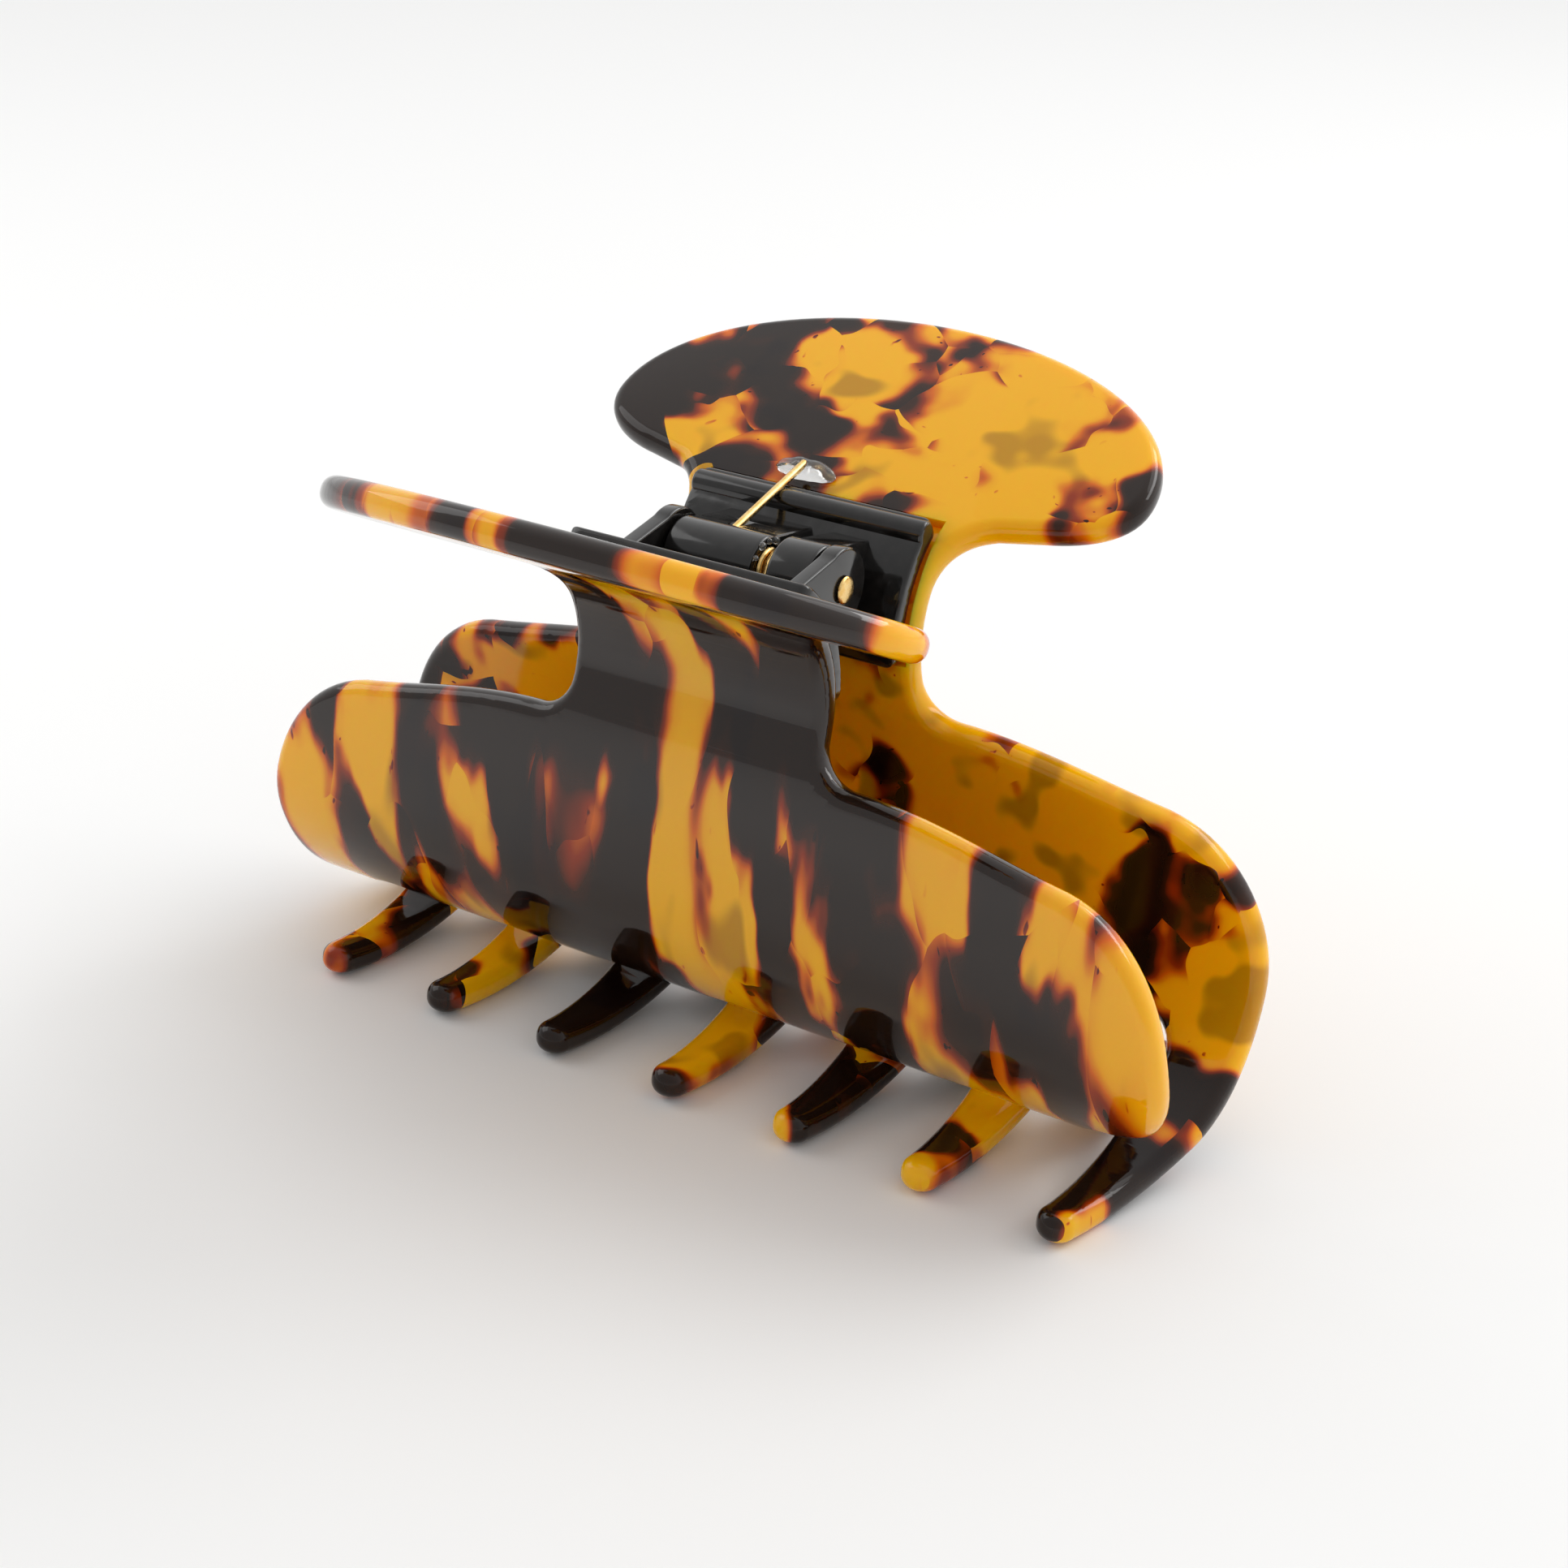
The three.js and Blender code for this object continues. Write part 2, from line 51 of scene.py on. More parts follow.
# ---- Sizes of the clip, millimetres and degrees --------------------------------------------------
SHEET = 2.8
PADDLE_TOP = -31.7
PADDLE_LEAN = -64.0
BENDS = [(24.1, 0.0), (15.2, 80.7), (17.9, -16.3), (14.8, -58.4), (30.0, -62.8)]
CROSSING = 44.3
PADDLE_HALF = 28.4
PADDLE_WIDEST = -15.2
HEEL = (20.9, -8.55)
NECK = 13.1
SHOULDER = 11.45
BODY_HALF = 47.7
BODY_WIDEST = 29.6
TEETH = 7
PITCH = 13.0
FIRST_TOOTH = -35.75
TOOTH_ROOT = 42.5
TOOTH_END = 61.0
ROOT_HALF = 3.25
TIP_RADIUS = 1.8
SLANT = 0.07
END_GAP_SHIFT = 0.6
END_GAP_RADIUS = 3.9
REAR_END_GAP_ROOT = 37.4
EDGE_ROUND = 1.25
EDGE_STEPS = 7
OUTLINE_STEP = 0.55
PLATE_STEP = 0.6
SLAB_STEP = 0.7
BEND_SLICE = 0.8

HINGE_ABOVE_WAIST = 2.8
POCKET_FLOOR = -0.3
PLATE_BACK = -1.2
PLATE = 1.8
PLATE_FACE = PLATE_BACK - PLATE
PLATE_HALF = 12.2
PLATE_TOP = -6.0
PLATE_BOTTOM = 5.4
PLATE_CORNER = 0.9
PLATE_ROUND = 0.35
POCKET_TOP = -6.9
POCKET_BOTTOM = 5.7
POCKET_HALF = 12.5
RAIL_RADIUS = 1.25
EAR_INNER = 7.8
EAR_OUTER = 9.4
EAR_RADIUS = 3.7
EAR_TIP = (-4.4, -9.4)
BARREL = (-7.5, 1.6, 3.1)
KNUCKLE = (3.4, 7.5, 3.5)
BAR_ROUND = 0.35
SLAB_ROUND = 0.3
CHAMBER_FROM = -4.4
CHAMBER_RADIUS = 2.4
SLOT = 1.3
SLOT_REACH = 9.0
PIN_RADIUS = 0.95
PIN_HOLE_RADIUS = PIN_RADIUS + 0.05
PIN_HEAD_RADIUS = 1.25
PIN_HEAD = 0.35
PIN_HEAD_GAP = 0.12
WIRE = 0.38
COIL_RADIUS = 1.75
COIL_FROM = -3.1
COIL_TO = 2.7
COIL_TURNS = 6
REAR_LEG_END = (-8.7, -2.6)
FRONT_LEG_END = (2.2, PLATE_FACE - 0.3 - WIRE)
GLUE_RADII = (3.1, 1.05, 1.5)
RESIDUE_RADIUS = 2.72
RESIDUE_LUMPS = [(35, 0.55), (62, 0.8), (88, 0.6), (112, 0.75), (140, 0.5)]


# ---- Bent sheet ------------------------------------------------------------------------------------
def walk(along):
    """Y, Z and lean reached at these distances down the sheet, before the sheet is placed."""
    along = np.asarray(along, float)
    y = np.zeros_like(along)
    z = np.zeros_like(along)
    lean = np.full_like(along, math.radians(PADDLE_LEAN))
    left = along - PADDLE_TOP
    for index, (length, turn) in enumerate(BENDS):
        first, last = index == 0, index == len(BENDS) - 1
        step = left if last else np.minimum(left, length)
        step = step if first else np.maximum(step, 0.0)
        rate = math.radians(turn) / length
        after = lean + rate * step
        if rate == 0.0:
            y = y + np.sin(lean) * step
            z = z - np.cos(lean) * step
        else:
            y = y + (np.cos(lean) - np.cos(after)) / rate
            z = z - (np.sin(after) - np.sin(lean)) / rate
        lean = after
        left = left - step
    return y, z, lean


def lowest_along():
    """Distance down the sheet at which it lies flat on the table."""
    before = PADDLE_LEAN + sum(turn for _, turn in BENDS[:-1])
    start = PADDLE_TOP + sum(length for length, _ in BENDS[:-1])
    length, turn = BENDS[-1]
    return start + (-90.0 - before) / turn * length


SHIFT_Y = -float(walk(CROSSING)[0])
SHIFT_Z = SHEET / 2 - float(walk(lowest_along())[1])


def bend(points):
    """Flat (across, along, out) rows in millimetres to rows in the frame, for the rear jaw."""
    points = np.atleast_2d(np.asarray(points, float))
    y, z, lean = walk(points[:, 1])
    placed_y = y + SHIFT_Y + points[:, 2] * np.cos(lean)
    placed_z = z + SHIFT_Z + points[:, 2] * np.sin(lean)
    return np.stack([points[:, 0], placed_y, placed_z], 1)


HINGE_Z = float(bend([(0, 0, 0)])[0, 2]) + HINGE_ABOVE_WAIST


def turn_round(points):
    """Half a turn about Z, which takes the rear jaw's places to the front jaw's."""
    return points * np.array([-1.0, -1.0, 1.0])


# ---- Flat outlines ---------------------------------------------------------------------------------
def bezier(p0, p1, p2, p3, steps=14):
    """Points on a cubic after its first end, as rows."""
    t = np.linspace(0, 1, steps + 1)[1:, None]
    p0, p1, p2, p3 = (np.array(p, float) for p in (p0, p1, p2, p3))
    return (1 - t) ** 3 * p0 + 3 * (1 - t) ** 2 * t * p1 + 3 * (1 - t) * t * t * p2 + t ** 3 * p3


def arc(cx, cy, rx, ry, start, end, steps):
    """Points on an ellipse's arc, as rows. Angles are in radians."""
    angles = np.linspace(start, end, steps + 1)
    return np.stack([cx + rx * np.cos(angles), cy + ry * np.sin(angles)], 1)


def tooth_axis(index, along):
    """X of a tooth's middle line at a distance down the sheet."""
    return FIRST_TOOTH + PITCH * index - SLANT * (along - CROSSING)


def side_points():
    """From the paddle's widest point down to the body's widest point, right side."""
    (hx, h), n, e, s = HEEL, NECK, BODY_HALF, SHOULDER
    start = (PADDLE_HALF, PADDLE_WIDEST)
    runs = [bezier(start, (start[0], start[1] + 4.1), (hx + 3.5, h - 0.7), (hx, h))]
    runs.append(bezier((hx - 3.5, h + 0.8), (n + 2.1, h + 1.6), (n, h + 4), (n, h + 7.9)))
    runs.append(np.array([(n, s - 3.5)]))
    runs.append(bezier((n, s - 3.5), (n, s - 1.5), (n + 1.6, s), (n + 3.6, s)))
    runs.append(bezier((n + 3.6, s), (n + 10.6, s + 0.1), (e - 17.7, s + 1.9), (e - 11.7, s + 2.9)))
    runs.append(bezier((e - 11.7, s + 2.9), (e - 4.2, s + 3.8), (e, BODY_WIDEST - 7), (e, BODY_WIDEST), 20))
    return np.concatenate(runs)


def jaw_outline(end_gap_root):
    """The flat blank's outline as (across, along) rows, closed."""
    rise = PADDLE_WIDEST - PADDLE_TOP
    tip = TOOTH_END - TIP_RADIUS
    last, e = TEETH - 1, BODY_HALF
    edge = tooth_axis(last, tip) + TIP_RADIUS
    side = side_points()
    runs = [arc(0, PADDLE_WIDEST, PADDLE_HALF, rise, -math.pi / 2, 0, 30), side]
    runs.append(bezier((e, BODY_WIDEST), (e, BODY_WIDEST + 5), (e, CROSSING - 3.5), (e - 1.1, CROSSING)))
    runs.append(bezier((e - 1.1, CROSSING), (e - 2.5, CROSSING + 4.7), (edge + 0.9, tip - 5), (edge, tip)))
    for i in range(last, -1, -1):
        runs.append(arc(tooth_axis(i, tip), tip, TIP_RADIUS, TIP_RADIUS, 0.06, math.pi - 0.06, 18))
        if i > 0:
            beside_end = i == last
            root = end_gap_root if beside_end else TOOTH_ROOT
            middle = tooth_axis(i, root) - PITCH / 2 + (END_GAP_SHIFT if beside_end else 0.0)
            radius = END_GAP_RADIUS if beside_end else PITCH / 2 - ROOT_HALF
            runs.append(arc(middle, root, radius, radius, -0.04, 0.04 - math.pi, 20))
    root = (tooth_axis(0, TOOTH_ROOT) - ROOT_HALF, TOOTH_ROOT)
    corner = (6.3 - e, TOOTH_ROOT - 4.1)
    runs.append(np.array([root]))
    runs.append(bezier(root, (8.6 - e, TOOTH_ROOT - 2.3), (7.8 - e, TOOTH_ROOT - 3.6), corner))
    runs.append(bezier(corner, (2.5 - e, TOOTH_ROOT - 5.3), (-e, BODY_WIDEST + 5), (-e, BODY_WIDEST)))
    mirrored = side[::-1] * np.array([-1.0, 1.0])
    runs.append(mirrored[1:])
    runs.append(arc(0, PADDLE_WIDEST, PADDLE_HALF, rise, math.pi, 1.5 * math.pi, 30)[:-1])
    points = np.concatenate(runs)
    keep = np.linalg.norm(points - np.roll(points, 1, axis=0), axis=1) > 0.02
    return resample(points[keep], OUTLINE_STEP)


def resample(points, longest):
    """Adds points on long straight runs, so that bends and rounded edges stay smooth."""
    out = []
    for a, b in zip(points, np.roll(points, -1, axis=0)):
        count = max(1, int(math.ceil(np.linalg.norm(b - a) / longest)))
        out.extend(a + (b - a) * i / count for i in range(count))
    return np.array(out)


# ---- Mesh building ---------------------------------------------------------------------------------
def inset_loop(points, amount):
    """The closed outline moved inwards. Points run anticlockwise."""
    ahead = np.roll(points, -1, axis=0) - points
    behind = points - np.roll(points, 1, axis=0)
    ahead /= np.linalg.norm(ahead, axis=1, keepdims=True)
    behind /= np.linalg.norm(behind, axis=1, keepdims=True)
    tangent = ahead + behind
    tangent /= np.linalg.norm(tangent, axis=1, keepdims=True)
    inwards = np.stack([-tangent[:, 1], tangent[:, 0]], 1)
    return points + inwards * amount


def rounded_slab(outline, low, high, radius, steps=EDGE_STEPS):
    """A bmesh of the outline between two levels with rounded edges, in (u, v, w) coordinates."""
    area = 0.5 * np.sum(outline[:, 0] * np.roll(outline[:, 1], -1) - np.roll(outline[:, 0], -1) * outline[:, 1])
    outline = outline if area > 0 else outline[::-1]
    quarter = [i / steps * math.pi / 2 for i in range(steps + 1)]
    rings = [(radius * (1 - math.sin(a)), low + radius * (1 - math.cos(a))) for a in quarter]
    rings += [(radius * (1 - math.cos(a)), high - radius * (1 - math.sin(a))) for a in quarter]
    bm = bmesh.new()
    loops = []
    for amount, level in rings:
        flat = inset_loop(outline, amount)
        loops.append([bm.verts.new((u, v, level)) for u, v in flat])
    for lower, upper in zip(loops, loops[1:]):
        for i in range(len(lower)):
            j = (i + 1) % len(lower)
            bm.faces.new((lower[i], lower[j], upper[j], upper[i]))
    bm.faces.new(loops[0][::-1])
    bm.faces.new(loops[-1])
    bmesh.ops.remove_doubles(bm, verts=bm.verts, dist=1e-5)
    bmesh.ops.triangulate(bm, faces=[f for f in bm.faces if len(f.verts) > 4])
    return bm


def face_outwards(bm):
    """Makes every face of a closed body look outwards."""
    bmesh.ops.recalc_face_normals(bm, faces=bm.faces)
    if bm.calc_volume(signed=True) < 0:
        bmesh.ops.reverse_faces(bm, faces=bm.faces)


def add_object(name, bm, scale=MM):
    """Links a new object made from a closed bmesh, or from a flat one, and frees the bmesh."""
    face_outwards(bm)
    if scale != 1:
        bmesh.ops.scale(bm, vec=(scale,) * 3, verts=bm.verts)
    mesh = bpy.data.meshes.new(name)
    bm.to_mesh(mesh)
    bm.free()
    obj = bpy.data.objects.new(name, mesh)
    bpy.context.scene.collection.objects.link(obj)
    return obj


def smooth(obj, degrees=40):
    """Shades smoothly, and leaves edges sharper than the angle sharp."""
    for polygon in obj.data.polygons:
        polygon.use_smooth = True
    obj.data.set_sharp_from_angle(angle=math.radians(degrees))


def boolean(obj, tool, operation):
    """Joins or cuts with the exact solver and drops the tool."""
    modifier = obj.modifiers.new("cut", "BOOLEAN")
    modifier.operation = operation
    modifier.object = tool
    modifier.solver = "EXACT"
    depsgraph = bpy.context.evaluated_depsgraph_get()
    mesh = bpy.data.meshes.new_from_object(obj.evaluated_get(depsgraph))
    obj.modifiers.clear()
    obj.data = mesh
    bpy.data.objects.remove(tool)


def block(half, top, bottom, inner, outer):
    """A box centred on X, between two levels along the sheet and two through it."""
    bm = bmesh.new()
    bmesh.ops.create_cube(bm, size=1)
    for v in bm.verts:
        v.co = Vector((v.co.x * 2 * half, (top + bottom) / 2 + v.co.y * (bottom - top),
                       (inner + outer) / 2 + v.co.z * (outer - inner)))
    return bm


def bend_object(obj, front=False, scale=MM):
    """Cuts a flat object into narrow strips, keeps its flat place as an attribute, and bends it."""
    bm = bmesh.new()
    bm.from_mesh(obj.data)
    bmesh.ops.triangulate(bm, faces=bm.faces)
    start = PADDLE_TOP + BENDS[0][0]
    for along in np.arange(start, TOOTH_END + 0.5, BEND_SLICE):
        geometry = bm.verts[:] + bm.edges[:] + bm.faces[:]
        bmesh.ops.bisect_plane(bm, geom=geometry, plane_co=(0, along, 0), plane_no=(0, 1, 0), dist=1e-4)
    bmesh.ops.remove_doubles(bm, verts=bm.verts, dist=1e-4)
    bm.to_mesh(obj.data)
    bm.free()
    flat = np.array([v.co for v in obj.data.vertices], float)
    place = obj.data.attributes.new("sheet", "FLOAT_VECTOR", "POINT")
    place.data.foreach_set("vector", flat.astype(np.float32).ravel())
    placed = bend(flat)
    placed = turn_round(placed) if front else placed
    obj.data.vertices.foreach_set("co", (placed * scale).astype(np.float32).ravel())
    obj.data.update()
    bm = bmesh.new()
    bm.from_mesh(obj.data)
    face_outwards(bm)
    bm.to_mesh(obj.data)
    bm.free()
    return obj


def make_jaw(name, node, body, end_gap_root, front):
    """One bent jaw with bullnose edges and the pocket for its bracket."""
    blank = rounded_slab(jaw_outline(end_gap_root), -SHEET / 2, SHEET / 2, EDGE_ROUND)
    jaw = add_object(name, blank, 1)
    pocket = block(POCKET_HALF, POCKET_TOP, POCKET_BOTTOM, -SHEET, POCKET_FLOOR)
    boolean(jaw, add_object("pocket", pocket, 1), "DIFFERENCE")
    bend_object(jaw, front)
    smooth(jaw)
    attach(jaw, body)
    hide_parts(node)
    return jaw


# ---- Hinge pieces ----------------------------------------------------------------------------------
def lathe(profile, sides=48):
    """A bmesh turned round the hinge axis from (x, radius) rows that start and end on the axis."""
    bm = bmesh.new()
    loops = []
    for x, radius in profile:
        if radius < 1e-6:
            loops.append([bm.verts.new((x, 0, HINGE_Z))])
            continue
        angles = [i / sides * 2 * math.pi for i in range(sides)]
        ring = [(x, radius * math.cos(a), HINGE_Z + radius * math.sin(a)) for a in angles]
        loops.append([bm.verts.new(place) for place in ring])
    for lower, upper in zip(loops, loops[1:]):
        for i in range(sides):
            j = (i + 1) % sides
            corners = [lower[i % len(lower)], lower[j % len(lower)]]
            corners += [upper[j % len(upper)], upper[i % len(upper)]]
            bm.faces.new(list(dict.fromkeys(corners)))
    return bm


def round_bar(start, end, radius, fillet, sides=48):
    """A bar on the hinge axis with rounded rims."""
    quarter = [i / 5 * math.pi / 2 for i in range(6)]
    rim = [(fillet * (1 - math.sin(a)), radius - fillet * (1 - math.cos(a))) for a in quarter]
    left = [(start + inwards, level) for inwards, level in rim]
    right = [(end - inwards, level) for inwards, level in rim]
    profile = [(start, 0)] + sorted(left) + sorted(right) + [(end, 0)]
    return lathe(profile, sides)


def plate_spine(start, end, front):
    """Middle of the bent plate as (Y, height from the hinge axis) rows."""
    along = np.linspace(start, end, 9)
    rows = bend(np.stack([np.zeros(9), along, np.full(9, PLATE_BACK - PLATE / 2)], 1))
    return np.stack([rows[:, 1] * (-1 if front else 1), rows[:, 2] - HINGE_Z], 1)


def hinge_slab(outline, start, end, radius):
    """A rounded slab whose outline is in Y and height from the hinge axis, between two X planes."""
    bm = rounded_slab(resample(outline, SLAB_STEP), start, end, radius, 4)
    for v in bm.verts:
        v.co = Vector((v.co.z, v.co.x, HINGE_Z + v.co.y))
    return bm


def web_outline(radius):
    """Side view of the web that joins the rear plate to a bar of this radius."""
    top, bottom = math.radians(100), math.radians(-75)
    round_end = arc(0, 0, radius, radius, bottom, top - 2 * math.pi, 30)
    return np.concatenate([plate_spine(-3.6, 3.0, False), round_end])


def ear_outline():
    """Side view of a front ear: round about the pin, running down to a point on the plate."""
    round_end = arc(0, 0, EAR_RADIUS, EAR_RADIUS, math.radians(-50), math.radians(117), 30)
    return np.concatenate([round_end, plate_spine(-4.0, PLATE_BOTTOM - 1, True), np.array([EAR_TIP])])


def plate_object(name, front):
    """The thin bent plate of a bracket, with rounded corners and edges."""
    corner, half = PLATE_CORNER, PLATE_HALF
    low = ((half, PLATE_BOTTOM, 0), (-half, PLATE_BOTTOM, 90))
    high = ((-half, PLATE_TOP, 180), (half, PLATE_TOP, 270))
    outline = []
    for cx, cy, start in low + high:
        x = cx - math.copysign(corner, cx)
        y = cy - math.copysign(corner, cy)
        outline.append(arc(x, y, corner, corner, math.radians(start), math.radians(start + 90), 6))
    flat = resample(np.concatenate(outline), PLATE_STEP)
    slab = rounded_slab(flat, PLATE_FACE, PLATE_BACK, PLATE_ROUND, 4)
    return bend_object(add_object(name, slab, 1), front, 1)


def rail_object():
    """The round rail along the top of the rear plate."""
    middle = bend([(0, PLATE_TOP + RAIL_RADIUS, PLATE_BACK - RAIL_RADIUS)])[0]
    bm = round_bar(-PLATE_HALF, PLATE_HALF, RAIL_RADIUS, 0.4, 32)
    shift = Vector((0, middle[1], middle[2] - HINGE_Z))
    bmesh.ops.translate(bm, vec=shift, verts=bm.verts)
    return add_object("rail", bm, 1)


def finish_bracket(obj, node, body):
    """Brackets are joined in millimetres and brought to metres here."""
    obj.data.transform(Matrix.Scale(MM, 4))
    smooth(obj, 35)
    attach(obj, body)
    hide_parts(node)
    return obj


def join(obj, name, bm):
    boolean(obj, add_object(name, bm, 1), "UNION")


def cut(obj, name, bm):
    boolean(obj, add_object(name, bm, 1), "DIFFERENCE")


def rear_bracket():
    """Plate, rail, spring barrel and knuckle, cut for the spring, its leg and the pin."""
    obj = plate_object("bracket_rear", False)
    boolean(obj, rail_object(), "UNION")
    for start, end, radius in (BARREL, KNUCKLE):
        join(obj, "bar", round_bar(start, end, radius, BAR_ROUND))
        join(obj, "web", hinge_slab(web_outline(radius - 0.02), start + 0.05, end - 0.05, SLAB_ROUND))
    cut(obj, "chamber", round_bar(CHAMBER_FROM, BARREL[1] + 1, CHAMBER_RADIUS, 0.05, 40))
    slot = block(SLOT / 2, 0, SLOT_REACH, -SLOT / 2, SLOT / 2)
    leg = tangent_leg(REAR_LEG_END, -1, False)
    slot.transform(Matrix.Rotation(math.atan2(leg["heading"][1], leg["heading"][0]), 4, "X"))
    slot.transform(Matrix.Translation((COIL_FROM, leg["tangent"][0], HINGE_Z + leg["tangent"][1])))
    cut(obj, "slot", slot)
    cut(obj, "hole", round_bar(-9, 9, PIN_HOLE_RADIUS, 0.02, 32))
    return finish_bracket(obj, "rear_bracket", "rear_half")


def front_bracket():
    """Plate and two ears, with the pin hole through both."""
    obj = plate_object("bracket_front", True)
    for start, end in ((EAR_INNER, EAR_OUTER), (-EAR_OUTER, -EAR_INNER)):
        join(obj, "ear", hinge_slab(ear_outline(), start, end, SLAB_ROUND))
    cut(obj, "hole", round_bar(-11, 11, PIN_HOLE_RADIUS, 0.02, 32))
    return finish_bracket(obj, "front_bracket", "front_half")


def hinge_pin():
    """The pin with both ends spread into low domes."""
    inner = EAR_OUTER + PIN_HEAD_GAP
    rim = [(0, PIN_RADIUS), (0.01, PIN_HEAD_RADIUS - 0.08), (0.08, PIN_HEAD_RADIUS)]
    dome = [(0.2, PIN_HEAD_RADIUS - 0.05), (0.29, 1.0), (0.33, 0.6), (0.345, 0.25), (PIN_HEAD, 0)]
    right = [(inner + out, radius) for out, radius in rim + dome]
    left = [(-x, radius) for x, radius in right[::-1]]
    obj = add_object("pin_peened", lathe(left + right))
    smooth(obj, 50)
    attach(obj, "front_half")
    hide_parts("hinge_pin")
    return obj


def tangent_leg(end, turn, front):
    """The straight leg that leaves the coil along a tangent and ends at a place on the sheet."""
    row = bend([(0, end[0], end[1])])[0]
    target = (row[1] * (-1 if front else 1), row[2] - HINGE_Z)
    distance = math.hypot(*target)
    angle = math.atan2(target[1], target[0]) - turn * math.acos(COIL_RADIUS / distance)
    tangent = (COIL_RADIUS * math.cos(angle), COIL_RADIUS * math.sin(angle))
    reach = math.sqrt(distance ** 2 - COIL_RADIUS ** 2)
    heading = ((target[0] - tangent[0]) / reach, (target[1] - tangent[1]) / reach)
    return {"angle": angle, "tangent": tangent, "heading": heading, "reach": reach}


def spring_line():
    """The wire's middle line: rear leg, coil about the hinge axis, front leg."""
    rear, front = tangent_leg(REAR_LEG_END, -1, False), tangent_leg(FRONT_LEG_END, 1, True)
    sweep = COIL_TURNS * 2 * math.pi + (front["angle"] - rear["angle"]) % (2 * math.pi)
    rows = []
    for share in np.linspace(1, 0, 24)[:-1]:
        d = rear["reach"] * share
        rows.append((COIL_FROM, *[rear["tangent"][i] + rear["heading"][i] * d for i in (0, 1)]))
    for share in np.linspace(0, 1, 230):
        a = rear["angle"] + share * sweep
        x = COIL_FROM + share * (COIL_TO - COIL_FROM)
        rows.append((x, COIL_RADIUS * math.cos(a), COIL_RADIUS * math.sin(a)))
    for share in np.linspace(0, 1, 12)[1:]:
        d = front["reach"] * share
        rows.append((COIL_TO, *[front["tangent"][i] + front["heading"][i] * d for i in (0, 1)]))
    line = np.array(rows)
    line[:, 2] += HINGE_Z
    return line


def tube(line, radius, sides=14):
    """A closed round tube along a line, with domed ends."""
    tangents = np.gradient(line, axis=0)
    tangents /= np.linalg.norm(tangents, axis=1, keepdims=True)
    bm = bmesh.new()
    side = np.array([1.0, 0.0, 0.0])
    loops = []
    for point, tangent in zip(line, tangents):
        side = side - tangent * np.dot(side, tangent)
        side /= np.linalg.norm(side)
        up = np.cross(tangent, side)
        angles = [i / sides * 2 * math.pi for i in range(sides)]
        ring = [point + radius * (side * math.cos(a) + up * math.sin(a)) for a in angles]
        loops.append([bm.verts.new(p) for p in ring])
    for lower, upper in zip(loops, loops[1:]):
        for i in range(sides):
            j = (i + 1) % sides
            bm.faces.new((lower[i], lower[j], upper[j], upper[i]))
    for loop, tangent in ((loops[0], -tangents[0]), (loops[-1], tangents[-1])):
        middle = np.mean([v.co for v in loop], axis=0) + tangent * radius * 0.5
        tip = bm.verts.new(middle)
        for i in range(sides):
            bm.faces.new((loop[i], loop[(i + 1) % sides], tip))
    return bm


def torsion_spring():
    """The wire, from the rear half's leg round the coil to the front half's leg."""
    obj = add_object("spring_wire", tube(spring_line(), WIRE))
    smooth(obj, 60)
    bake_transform(obj)
    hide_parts("torsion_spring")
    return obj


def lumpy(bm, amount, size, seed):
    """Pushes each point in or out by smooth noise."""
    for v in bm.verts:
        shift = noise.noise(v.co * size + Vector((seed, 0, 0)))
        v.co += v.normal * shift * amount


def spring_glue():
    """A lumpy drop of clear glue over the end of the rear spring leg."""
    bm = bmesh.new()
    bmesh.ops.create_icosphere(bm, subdivisions=4, radius=1)
    bmesh.ops.scale(bm, vec=GLUE_RADII, verts=bm.verts)
    bm.normal_update()
    lumpy(bm, 0.16, 0.9, 3.0)
    for v in bm.verts:
        v.co += Vector((COIL_FROM, REAR_LEG_END[0], -SHEET / 2 - 0.05))
        v.co.z = min(v.co.z, -SHEET / 2 - 0.02)
    flat = np.array([v.co for v in bm.verts], float)
    for v, row in zip(bm.verts, bend(flat)):
        v.co = row
    obj = add_object("glue_drop", bm)
    smooth(obj, 60)
    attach(obj, "rear_half")
    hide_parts("spring_glue")
    return obj


def glue_residue():
    """Smears of dried glue where the barrel ends beside the coil."""
    bm = bmesh.new()
    for angle, size in RESIDUE_LUMPS:
        made = bmesh.ops.create_icosphere(bm, subdivisions=3, radius=1)["verts"]
        a = math.radians(angle)
        height = HINGE_Z + RESIDUE_RADIUS * math.sin(a)
        place = Vector((BARREL[1] + 0.1, RESIDUE_RADIUS * math.cos(a), height))
        for v in made:
            v.co = Vector((v.co.x * 0.32, v.co.y * size * 0.55, v.co.z * size * 0.5)) + place
    bm.normal_update()
    lumpy(bm, 0.12, 1.7, 11.0)
    obj = add_object("glue_residue", bm)
    smooth(obj, 60)
    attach(obj, "rear_half")
    return obj


